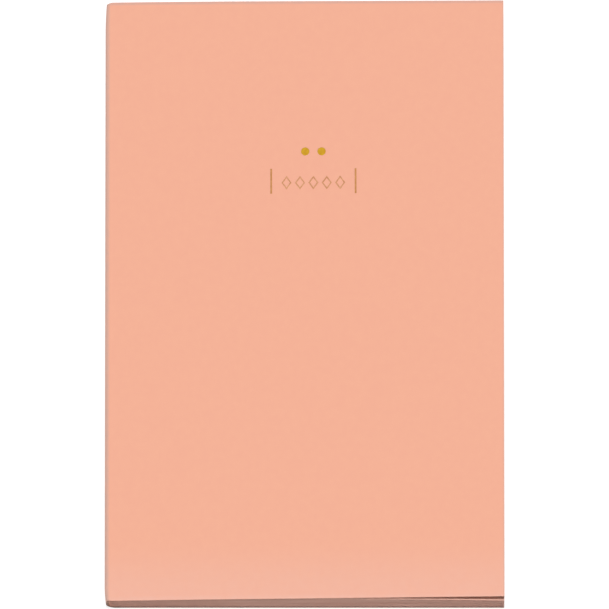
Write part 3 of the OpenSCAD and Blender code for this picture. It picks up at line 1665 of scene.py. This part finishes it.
@dataclass
class Studio:
    """A plain pale floor, soft light from above and the camera of the photograph."""

    form: BookForm
    lens: float = 1600.0
    elevation: float = 76.1
    frame_width: float = 213.3 * MM
    aim_y: float = -2.1 * MM
    aim_z: float = 13.9 * MM
    sensor: float = 36.0
    floor_half: float = 6.0
    floor_bounce: float = 0.95
    floor_lit: float = 0.35
    floor_glow: float = 0.75
    sky: float = 0.1
    lamp_strength: float = 2.82
    lamp_spread: float = 10.0
    lamp_lean: float = 1.5
    lamp_place: tuple[float, float, float] = (0.0, 0.5, 2.0)
    clip: tuple[float, float] = (0.1, 30.0)

    def build(self) -> None:
        """Set up the whole studio."""
        scene = bpy.context.scene
        scene.view_settings.view_transform = "Standard"
        self._floor()
        self._sky()
        self._lamp()
        self._camera()
        log.info("studio: floor, sky, lamp and camera stand")

    @staticmethod
    def _seen(tree: bpy.types.NodeTree) -> Socket:
        """Tell the rays that see a surface, straight or through a gloss or a glass, from the rest.

        Args:
            tree: The node tree of the floor or of the world.

        Returns:
            A value of 1 for those rays and 0 for light that bounces.
        """
        path = tree.nodes.new("ShaderNodeLightPath")
        value = path.outputs["Is Camera Ray"]
        for name in ("Is Glossy Ray", "Is Transmission Ray"):
            either = tree.nodes.new("ShaderNodeMath")
            either.operation = "MAXIMUM"
            tree.links.new(value, either.inputs[0])
            tree.links.new(path.outputs[name], either.inputs[1])
            value = either.outputs[0]
        return value

    def _floor(self) -> None:
        """Lay the floor: white with a faint shadow where it is seen, pale grey to light that bounces."""
        nodes = Nodes("floor_white")
        seen = self._seen(nodes.tree)
        bounce = (self.floor_bounce, self.floor_bounce, self.floor_bounce, 1.0)
        lit = (self.floor_lit, self.floor_lit, self.floor_lit, 1.0)
        nodes.colour(nodes.between(seen, FULL_BAND, bounce, lit))
        glow = nodes.worked("MULTIPLY", seen, self.floor_glow)
        nodes.link(glow, nodes.shader.inputs["Emission Strength"])
        nodes.shader.inputs["Emission Color"].default_value = WHITE
        nodes.set(Roughness=1.0, Specular_IOR_Level=0.0)
        half = self.floor_half
        mesh = bpy.data.meshes.new("floor")
        corners = [(-half, -half, 0), (half, -half, 0), (half, half, 0), (-half, half, 0)]
        mesh.from_pydata(corners, [], [(0, 1, 2, 3)])
        mesh.materials.append(nodes.material)
        link_object("floor", mesh)

    def _sky(self) -> None:
        """Make the soft light from all round, white where the camera or a gloss sees it."""
        world = bpy.data.worlds.new("studio")
        world.use_nodes = True
        bpy.context.scene.world = world
        tree = world.node_tree
        background = tree.nodes["Background"]
        background.inputs["Color"].default_value = WHITE
        strength = tree.nodes.new("ShaderNodeMapRange")
        strength.inputs["To Min"].default_value = self.sky
        strength.inputs["To Max"].default_value = 1.0
        tree.links.new(self._seen(tree), strength.inputs["Value"])
        tree.links.new(strength.outputs["Result"], background.inputs["Strength"])

    def _lamp(self) -> None:
        """Hang a wide soft light high over the book, a little towards its head."""
        light = bpy.data.lights.new("softbox", "SUN")
        light.angle = math.radians(self.lamp_spread)
        light.energy = self.lamp_strength
        lamp = bpy.data.objects.new("softbox", light)
        lamp.rotation_euler = (-math.radians(self.lamp_lean), 0, 0)
        lamp.location = self.lamp_place
        lamp.visible_glossy = False
        bpy.context.scene.collection.objects.link(lamp)

    def _camera(self) -> None:
        """Look down on the cover from the tail's side, through a very long lens."""
        data = bpy.data.cameras.new("camera")
        data.sensor_width = self.sensor
        data.lens = self.lens
        data.clip_start, data.clip_end = self.clip
        camera = bpy.data.objects.new("camera", data)
        distance = self.frame_width * self.lens / self.sensor
        lift = math.radians(self.elevation)
        back = Vector((0, -math.cos(lift), math.sin(lift)))
        camera.location = Vector((0, self.aim_y, self.aim_z)) + back * distance
        camera.rotation_mode = "QUATERNION"
        camera.rotation_quaternion = (-back).to_track_quat("-Z", "Y")
        bpy.context.scene.collection.objects.link(camera)
        bpy.context.scene.camera = camera


def main() -> None:
    """Build the book piece by piece."""
    logging.basicConfig(level=logging.INFO, format="%(name)s: %(message)s")
    form = BookForm.from_frame()
    finishes = Finishes(form)
    Studio(form).build()
    wrap = Wrap(form, finishes)
    wrap.build_front()
    wrap.build_back()
    Endpapers(form, finishes, wrap).build()
    SpineLining(form, finishes).build()
    LeafBlock(form, finishes).build()


if __name__ == "__main__":
    main()
